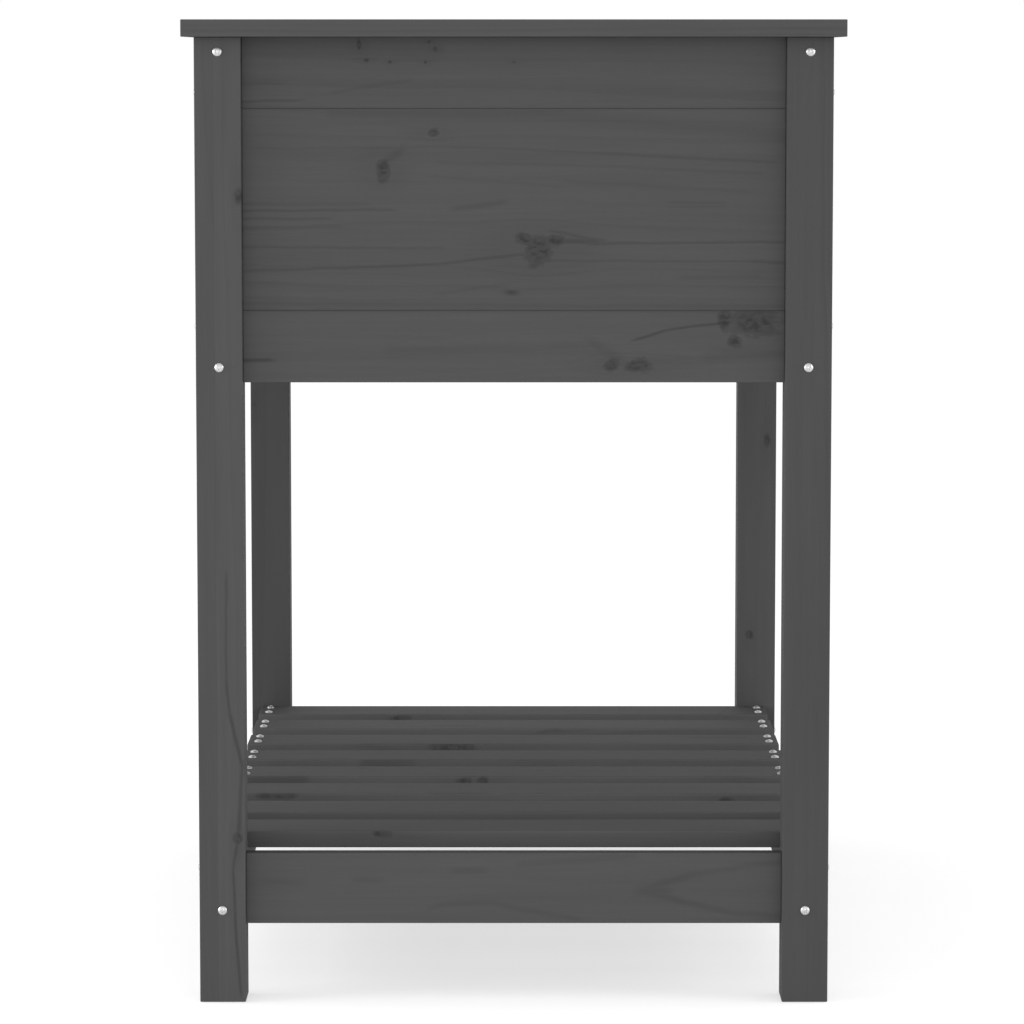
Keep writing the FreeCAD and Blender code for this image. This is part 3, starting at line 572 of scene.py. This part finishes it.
def lay_row(name, nodes_in_row, run, across, number, finish, play, arris):
    """One piece for a row of equal boards, from where the first and the last of them lie."""
    first_low, first_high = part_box(nodes_in_row[0])
    last_low, last_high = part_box(nodes_in_row[-1])
    middle = (first_low + first_high) / 2
    step = ((last_low + last_high) / 2 - middle) / (len(nodes_in_row) - 1)
    row = saw_board(name, first_low - middle, first_high - middle, run, across, 0, finish, arris)
    smooth_arris(row)
    row.data.attributes.remove(row.data.attributes["board"])
    give_tree(row, row_tree, count=len(nodes_in_row), start=middle, step=step, play=play, first_number=number,
              finish=finish)
    fix_in_place(row, *nodes_in_row)
    return row


row_tree = make_row_tree()
# The slats' front and back faces are painted lighter, to lift the shade that falls on them in the gaps between the
# slats.
slat_pine = stained_pine(
    "grey_pine_slats", pith_depth=34, ring_depth=0.8, chance_knots=0.4, tone=0.91, edge=0.28,
    knots=[(57, -112, 29, 12, 5, 3, 4), (55, -55, 29, 22, 5, 3, 5), (55, -72, 29, 6, 5, 3, 6),
           (53, -45, 29, 8, 4, 3, 4), (53, -28, 29, 6, 4, 3, 4), (52, -210, 27, 24, 5, 5, 4),
           (52, -44, 25, 7, 3, 6, 3), (52, 184, 29, 7, 3, 0, 4), (50, -112, 29, 9, 4, 5, 4)],
    streaks=[(56, -77, 8, -36, 8, 3, 0.5), (55, 168, -11, 221, -12, 3, 0.6), (55, 94, 20, 111, 20, 2, 0.4),
             (54, -138, 29, -92, 28, 3, 0.4), (53, -238, 29, -187, 29, 4, 0.4)])
lay_row("pine_shelf_slats", [f"shelf_slat_{n}" for n in range(1, 9)], 1, 0, 50, slat_pine, (0.0004, 0.0008, 0),
        SLAT_ARRIS)


# FLOOR OF THE TROUGH
# Two square bearers are screwed inside the long walls, and eleven pine boards lie across them with gaps
# for water.

for number, side in enumerate(("front", "back")):
    node = "floor_bearer_" + side
    bearer = saw_board("pine_" + node, *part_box(node), 0, 2, 70 + number, plain_pine, BOARD_ARRIS)
    smooth_arris(bearer)
    fix_in_place(bearer, node)
lay_row("pine_floor_boards", [f"floor_board_{n}" for n in range(1, 12)], 1, 0, 80, plain_pine, (0.0003, 0.0, 0),
        BOARD_ARRIS)


# BATTENS
# Six short upright boards inside the trough tie the three boards of each wall together.

for number, node in enumerate(("back_batten_1", "back_batten_2", "front_batten_1", "front_batten_2",
                               "right_batten", "left_batten")):
    across = 0 if number < 4 else 1
    batten = saw_board("pine_" + node, *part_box(node), 2, across, 100 + number, plain_pine, BOARD_ARRIS)
    smooth_arris(batten)
    fix_in_place(batten, node)


# RIM
# Four flat pine boards on top of the legs and walls. The end ones run the full width and the long ones
# butt against them. Countersunk screws hold them, flush with the top.

HEAD_HALF = 0.0037
SINK_DEEP = 0.0021
SINK_PLAY = 0.0005
SINK_OVER = 0.0004
HOLE_HALF = 0.0021
LONG_LINE = 0.241
END_LINE = 0.3835

rim_spots = []
for side in (-1, 1):
    rim_spots += [(x * side, y) for x in (0.32805, 0.10935) for y in (-LONG_LINE, LONG_LINE)]
    rim_spots += [(END_LINE * side, y) for y in (-0.2505, -0.2315, -0.07548, 0.07548, 0.2315, 0.2505)]
rim_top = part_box("rim_right")[1].z


def countersink(board, spots):
    """Drills the board where a screw enters it, with a cone for its head."""
    low = Vector([min(v.co[axis] for v in board.data.vertices) for axis in range(3)])
    high = Vector([max(v.co[axis] for v in board.data.vertices) for axis in range(3)])
    shape = bmesh.new()
    for x, y in spots:
        if low.x < x < high.x and low.y < y < high.y:
            place = Matrix.Translation((x, y, rim_top - SINK_DEEP / 2 + SINK_OVER / 2))
            bmesh.ops.create_cone(shape, cap_ends=True, segments=20, radius1=HOLE_HALF, radius2=HEAD_HALF + SINK_PLAY,
                                  depth=SINK_DEEP + SINK_OVER, matrix=place)
    drill = bpy.data.objects.new("drill", bpy.data.meshes.new("drill"))
    shape.to_mesh(drill.data)
    shape.free()
    bpy.context.scene.collection.objects.link(drill)
    bore = board.modifiers.new("Countersink", "BOOLEAN")
    bore.operation, bore.solver, bore.object = "DIFFERENCE", "EXACT", drill
    as_mesh(board)
    bpy.data.objects.remove(drill)


for number, node in enumerate(("rim_right", "rim_left", "rim_front", "rim_back")):
    low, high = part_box(node)
    rim = saw_board("pine_" + node, low, high, 1 if number < 2 else 0, 0 if number < 2 else 1, 110 + number,
                    plain_pine, BOARD_ARRIS)
    countersink(rim, rim_spots)
    smooth_arris(rim)
    fix_in_place(rim, node)


# SCREWS
# Zinc-plated wood screws with a cross recess. Those through the legs, slats, floor, bearers and battens
# have a domed head that stands proud; those in the rim are countersunk.

SHANK_HALF = 0.002
POINT_LONG = 0.005
HEAD_HIGH = 0.0022
HEAD_RIM = 0.0006
SUNK_HEAD_HIGH = 0.002
RECESS_LONG = 0.0044
RECESS_WIDE = 0.0011
RECESS_DEEP = 0.0013
LEG_SCREW = 0.065
SHELF_SCREW = 0.035
FLOOR_SCREW = 0.030
BATTEN_SCREW = 0.025
RIM_SCREW = 0.0395
FROM_EDGE = 0.013
FROM_TOP = 0.012
SLAT_SCREW_HALF = 0.0155
BEARER_SCREWS_X = (0.31347, 0.10206)
BATTEN_SCREWS_Z = (0.563, 0.61425, 0.69675, 0.767)


def make_zinc():
    """Bright zinc plating, a little uneven, with fine scratches."""
    finish = bpy.data.materials.new("bright_zinc")
    finish.use_nodes = True
    tree = finish.node_tree
    tree.nodes.clear()
    where = put(tree, "TexCoord").outputs["Object"]
    patches = put(tree, "TexNoise", where, None, 900.0, 3.0, 0.6).outputs[0]
    drawn_out = put(tree, "VectorMath", where, (400, 2600, 900), operation="MULTIPLY").outputs[0]
    scratches = put(tree, "TexNoise", drawn_out, None, 1.0, 2.0, 0.6).outputs[0]
    shade = soft_step(tree, patches, 0.3, 0.7, 0.50, 0.60)
    skin = put(tree, "BsdfPrincipled")
    skin.inputs["Metallic"].default_value = 1.0
    tree.links.new(put(tree, "CombineColor", shade, shade, calc(tree, "MULTIPLY", shade, 1.012)).outputs[0],
                   skin.inputs["Base Color"])
    tree.links.new(soft_step(tree, scratches, 0.3, 0.75, 0.36, 0.54), skin.inputs["Roughness"])
    tree.links.new(put(tree, "Bump", 0.25, 0.00003, None, scratches).outputs["Normal"], skin.inputs["Normal"])
    tree.links.new(skin.outputs[0], put(tree, "OutputMaterial").inputs[0])
    return finish


def make_screw_tree(name, rings):
    """Screws on points that carry the direction of their head. rings is the screw's outline as
    (height, radius) from its tip up, each the name of an input or a number."""
    tree = bpy.data.node_groups.new(name, "GeometryNodeTree")
    sizes = ("Length", "Point", "Shank", "Head", "Head high", "Head rim", "Recess long", "Recess wide", "Recess deep")
    tree.interface.new_socket("Geometry", in_out="INPUT", socket_type="NodeSocketGeometry")
    for label in sizes:
        tree.interface.new_socket(label, in_out="INPUT", socket_type="NodeSocketFloat")
    tree.interface.new_socket("Seed", in_out="INPUT", socket_type="NodeSocketInt")
    tree.interface.new_socket("Finish", in_out="INPUT", socket_type="NodeSocketMaterial")
    tree.interface.new_socket("Geometry", in_out="OUTPUT", socket_type="NodeSocketGeometry")
    takes = tree.nodes.new("NodeGroupInput").outputs
    gives = tree.nodes.new("NodeGroupOutput").inputs

    def add(kind, **settings):
        node = tree.nodes.new(kind)
        for key, value in settings.items():
            setattr(node, key, value)
        return node

    def feed(socket, value):
        if isinstance(value, bpy.types.NodeSocket):
            tree.links.new(value, socket)
        else:
            socket.default_value = value

    def sum_of(terms):
        """The weighted sum of inputs, given as (input name, weight) pairs."""
        total = None
        for label, weight in terms:
            node = add("ShaderNodeMath", operation="MULTIPLY_ADD")
            feed(node.inputs[0], takes[label])
            feed(node.inputs[1], weight)
            feed(node.inputs[2], total if total is not None else 0.0)
            total = node.outputs[0]
        return total

    index = add("GeometryNodeInputIndex").outputs[0]
    picks = []
    for part in (0, 1):
        pick = add("GeometryNodeIndexSwitch", data_type="FLOAT")
        while len(pick.index_switch_items) < len(rings):
            pick.index_switch_items.new()
        feed(pick.inputs["Index"], index)
        for number, ring in enumerate(rings):
            feed(pick.inputs[str(number)], sum_of(ring[part]))
        picks.append(pick.outputs[0])
    spine = add("GeometryNodeMeshLine")
    feed(spine.inputs["Count"], len(rings))
    place = add("ShaderNodeCombineXYZ")
    feed(place.inputs[2], picks[0])
    move = add("GeometryNodeSetPosition")
    feed(move.inputs["Geometry"], spine.outputs["Mesh"])
    feed(move.inputs["Position"], place.outputs[0])
    curve = add("GeometryNodeMeshToCurve")
    feed(curve.inputs["Mesh"], move.outputs["Geometry"])
    girth = add("GeometryNodeSetCurveRadius")
    feed(girth.inputs["Curve"], curve.outputs["Curve"])
    feed(girth.inputs["Radius"], picks[1])
    circle = add("GeometryNodeCurvePrimitiveCircle")
    feed(circle.inputs["Resolution"], 18)
    feed(circle.inputs["Radius"], 1.0)
    body = add("GeometryNodeCurveToMesh")
    feed(body.inputs["Curve"], girth.outputs["Curve"])
    feed(body.inputs["Profile Curve"], circle.outputs["Curve"])
    feed(body.inputs["Fill Caps"], True)
    if "Scale" in body.inputs:
        radius = add("GeometryNodeInputRadius")
        feed(body.inputs["Scale"], radius.outputs[0])

    cut = add("GeometryNodeMeshBoolean", operation="DIFFERENCE", solver="EXACT")
    feed(cut.inputs["Mesh 1"], body.outputs["Mesh"])
    for along, beside in ((0, 1), (1, 0)):
        span = add("ShaderNodeCombineXYZ")
        feed(span.inputs[along], takes["Recess long"])
        feed(span.inputs[beside], takes["Recess wide"])
        feed(span.inputs[2], sum_of([("Recess deep", 2.0)]))
        bar = add("GeometryNodeMeshCube")
        feed(bar.inputs["Size"], span.outputs[0])
        narrow = add("GeometryNodeSetPosition")
        here = add("GeometryNodeInputPosition").outputs[0]
        apart = add("ShaderNodeSeparateXYZ")
        feed(apart.inputs[0], here)
        under = add("FunctionNodeCompare", data_type="FLOAT", operation="LESS_THAN")
        feed(under.inputs[0], apart.outputs[2])
        feed(under.inputs[1], 0.0)
        taper = add("ShaderNodeVectorMath", operation="MULTIPLY")
        feed(taper.inputs[0], here)
        feed(taper.inputs[1], (0.55, 0.55, 1.0))
        feed(narrow.inputs["Geometry"], bar.outputs["Mesh"])
        feed(narrow.inputs["Selection"], under.outputs[0])
        feed(narrow.inputs["Position"], taper.outputs[0])
        rise = add("ShaderNodeCombineXYZ")
        feed(rise.inputs[2], sum_of([("Head high", 1.0)]))
        lift = add("GeometryNodeTransform")
        feed(lift.inputs["Geometry"], narrow.outputs["Geometry"])
        feed(lift.inputs["Translation"], rise.outputs[0])
        tree.links.new(lift.outputs["Geometry"], cut.inputs["Mesh 2"])

    facing = add("GeometryNodeInputNamedAttribute", data_type="FLOAT_VECTOR")
    feed(facing.inputs["Name"], "facing")
    aim = add("FunctionNodeAlignRotationToVector", axis="Z")
    feed(aim.inputs["Vector"], facing.outputs["Attribute"])
    angle = add("FunctionNodeRandomValue", data_type="FLOAT")
    feed(angle.inputs[3], math.tau)
    feed(angle.inputs["Seed"], takes["Seed"])
    spin = add("FunctionNodeAxisAngleToRotation")
    feed(spin.inputs["Axis"], (0, 0, 1))
    feed(spin.inputs["Angle"], angle.outputs[1])
    turned = add("FunctionNodeRotateRotation", rotation_space="LOCAL")
    feed(turned.inputs["Rotation"], aim.outputs[0])
    feed(turned.inputs["Rotate By"], spin.outputs[0])
    copies = add("GeometryNodeInstanceOnPoints")
    feed(copies.inputs["Points"], takes["Geometry"])
    feed(copies.inputs["Instance"], cut.outputs["Mesh"])
    feed(copies.inputs["Rotation"], turned.outputs[0])
    realize = add("GeometryNodeRealizeInstances")
    feed(realize.inputs["Geometry"], copies.outputs["Instances"])
    paint = add("GeometryNodeSetMaterial")
    feed(paint.inputs["Geometry"], realize.outputs["Geometry"])
    feed(paint.inputs["Material"], takes["Finish"])
    feed(gives["Geometry"], paint.outputs["Geometry"])
    return tree


domed_tree = make_screw_tree("Domed screw", [
    ([("Length", -1.0)], [("Shank", 0.1)]),
    ([("Length", -1.0), ("Point", 1.0)], [("Shank", 1.0)]),
    ([("Head high", -0.01)], [("Shank", 1.0)]),
    ([("Head high", 0.0)], [("Head", 1.0)]),
    ([("Head rim", 1.0)], [("Head", 1.0)]),
    ([("Head rim", 0.72), ("Head high", 0.28)], [("Head", 0.88)]),
    ([("Head rim", 0.42), ("Head high", 0.58)], [("Head", 0.68)]),
    ([("Head rim", 0.18), ("Head high", 0.82)], [("Head", 0.45)]),
    ([("Head rim", 0.04), ("Head high", 0.96)], [("Head", 0.21)]),
    ([("Head high", 1.0)], [("Head", 0.05)])])
sunk_tree = make_screw_tree("Countersunk screw", [
    ([("Length", -1.0)], [("Shank", 0.1)]),
    ([("Length", -1.0), ("Point", 1.0)], [("Shank", 1.0)]),
    ([("Head high", -1.0)], [("Shank", 1.0)]),
    ([("Head rim", -0.2)], [("Head", 1.0)]),
    ([("Head rim", 0.0)], [("Head", 0.98)])])
zinc = make_zinc()


def drive_screws(name, spots, long, tree, seed, head_high=HEAD_HIGH):
    """All the screws of one kind. spots are (place, direction of the head) pairs."""
    mesh = bpy.data.meshes.new(name)
    mesh.from_pydata([place for place, _ in spots], [], [])
    facing = mesh.attributes.new("facing", "FLOAT_VECTOR", "POINT")
    for number, (_, way) in enumerate(spots):
        facing.data[number].vector = way
    screws = bpy.data.objects.new("zinc_" + name, mesh)
    bpy.context.scene.collection.objects.link(screws)
    give_tree(screws, tree, length=long, point=POINT_LONG, shank=SHANK_HALF, head=HEAD_HALF, head_high=head_high,
              head_rim=HEAD_RIM, recess_long=RECESS_LONG, recess_wide=RECESS_WIDE, recess_deep=RECESS_DEEP,
              seed=seed, finish=zinc)
    screws.data.materials.clear()
    screws.data.materials.append(zinc)
    screws.data.shade_smooth()
    screws.data.set_sharp_from_angle(angle=math.radians(38))
    fix_in_place(screws, name, slot="zinc_screws")


leg_low, leg_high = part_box("leg_back_right")
leg_middle = (leg_low + leg_high) / 2
rail_low, rail_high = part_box("right_rail")
LOWER_BOARD_HIGH = 0.059
wall_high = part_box("right_wall_middle_board")[1]
trough_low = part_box("right_wall_lower_board")[0].z
seam_low = trough_low + LOWER_BOARD_HIGH
seam_high = wall_high.z - TONGUE_HIGH
both = (-1, 1)
drive_screws("leg_screws_ends", [
    ((leg_high.x * sx, leg_middle.y * sy, z), (sx, 0, 0))
    for sx in both for sy in both for z in (rail_low.z + FROM_EDGE, trough_low + FROM_EDGE, leg_high.z - FROM_TOP)],
    LEG_SCREW, domed_tree, 3)
drive_screws("leg_screws_sides", [
    ((leg_middle.x * sx, leg_high.y * sy, z), (0, sy, 0))
    for sx in both for sy in both for z in (rail_high.z - FROM_EDGE, seam_low - FROM_EDGE, seam_high + FROM_EDGE)],
    LEG_SCREW, domed_tree, 5)

slat_spots = []
for number in range(1, 9):
    low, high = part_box(f"shelf_slat_{number}")
    slat_spots += [(((low.x + high.x) / 2 + dx, leg_middle.y * sy, high.z), (0, 0, 1))
                   for dx in (-SLAT_SCREW_HALF, SLAT_SCREW_HALF) for sy in both]
drive_screws("shelf_screws", slat_spots, SHELF_SCREW, domed_tree, 7)

bearer_low, bearer_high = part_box("floor_bearer_back")
floor_spots = []
for number in range(1, 12):
    low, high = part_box(f"floor_board_{number}")
    floor_spots += [(((low.x + high.x) / 2, (bearer_low.y + bearer_high.y) / 2 * sy, high.z), (0, 0, 1))
                    for sy in both]
drive_screws("floor_screws", floor_spots, FLOOR_SCREW, domed_tree, 9)

drive_screws("bearer_screws", [
    ((x * sx, bearer_low.y * sy, (bearer_low.z + bearer_high.z) / 2), (0, -sy, 0))
    for sx in both for sy in both for x in BEARER_SCREWS_X], FLOOR_SCREW, domed_tree, 11)

batten_low, batten_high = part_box("back_batten_1")
end_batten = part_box("right_batten")[0]
batten_x = abs(batten_low.x + batten_high.x) / 2
drive_screws("batten_screws",
             [((batten_x * sx, batten_low.y * sy, z), (0, -sy, 0))
              for sx in both for sy in both for z in BATTEN_SCREWS_Z]
             + [((end_batten.x * sx, 0, z), (-sx, 0, 0)) for sx in both for z in BATTEN_SCREWS_Z],
             BATTEN_SCREW, domed_tree, 13)

drive_screws("rim_screws", [((x, y, rim_top - 0.0001), (0, 0, 1)) for x, y in rim_spots], RIM_SCREW, sunk_tree, 15,
             head_high=SUNK_HEAD_HIGH)


# GROUND, LIGHTS AND CAMERA
# A plain pale floor under soft white light from all round, with large soft lamps in front and at both
# sides. The camera looks at the right end of the bench, from about the height of its rim.

FLOOR_HALF = 12.0
FLOOR_PALE = (0.45, 0.45, 0.45, 1)
FLOOR_GLOW = 0.57
WHITE = (1, 1, 1, 1)
CAMERA_TILT = 5.768

floor_shape = bmesh.new()
bmesh.ops.create_grid(floor_shape, x_segments=1, y_segments=1, size=FLOOR_HALF)
floor = bpy.data.objects.new("pale_floor", bpy.data.meshes.new("pale_floor"))
floor_shape.to_mesh(floor.data)
floor_shape.free()
floor.location.z = -0.0005
bpy.context.scene.collection.objects.link(floor)
floor_paint = bpy.data.materials.new("pale_floor")
floor_paint.use_nodes = True
floor_skin = floor_paint.node_tree.nodes["Principled BSDF"]
floor_skin.inputs["Roughness"].default_value = 0.9
floor_skin.inputs["Specular IOR Level"].default_value = 0.0
floor_skin.inputs["Base Color"].default_value = FLOOR_PALE
floor_skin.inputs["Emission Color"].default_value = WHITE
floor_skin.inputs["Emission Strength"].default_value = FLOOR_GLOW
floor.data.materials.append(floor_paint)

world = bpy.data.worlds.new("studio")
world.use_nodes = True
world.node_tree.nodes["Background"].inputs["Color"].default_value = WHITE
world.node_tree.nodes["Background"].inputs["Strength"].default_value = 1.0
bpy.context.scene.world = world


def hang_lamp(name, place, aim, size, power):
    """A large soft square lamp, turned to the point it lights."""
    lamp = bpy.data.lights.new(name, "AREA")
    lamp.shape = "SQUARE"
    lamp.size = size
    lamp.energy = power
    holder = bpy.data.objects.new(name, lamp)
    holder.location = place
    holder.rotation_euler = (Vector(aim) - Vector(place)).to_track_quat("-Z", "Y").to_euler()
    holder.visible_camera = False
    bpy.context.scene.collection.objects.link(holder)


hang_lamp("lamp_low_front", (3.4, 0, 1.05), (0, 0, 0.3), 1.8, 26.0)
hang_lamp("lamp_side_front", (0.6, -2.6, 0.95), (0, 0, 0.2), 1.6, 47.0)
hang_lamp("lamp_side_back", (0.6, 2.6, 0.95), (0, 0, 0.2), 1.6, 29.0)

scene = bpy.context.scene
scene.view_settings.view_transform = "Standard"
camera = bpy.data.cameras.new("camera")
camera.sensor_width = 36
camera.lens = 158.38
camera.clip_end = 60
eye = bpy.data.objects.new("camera", camera)
eye.location = (4.0782, -0.0015, 0.7797)
eye.rotation_euler = (math.radians(90 - CAMERA_TILT), 0, math.radians(90))
scene.collection.objects.link(eye)
scene.camera = eye
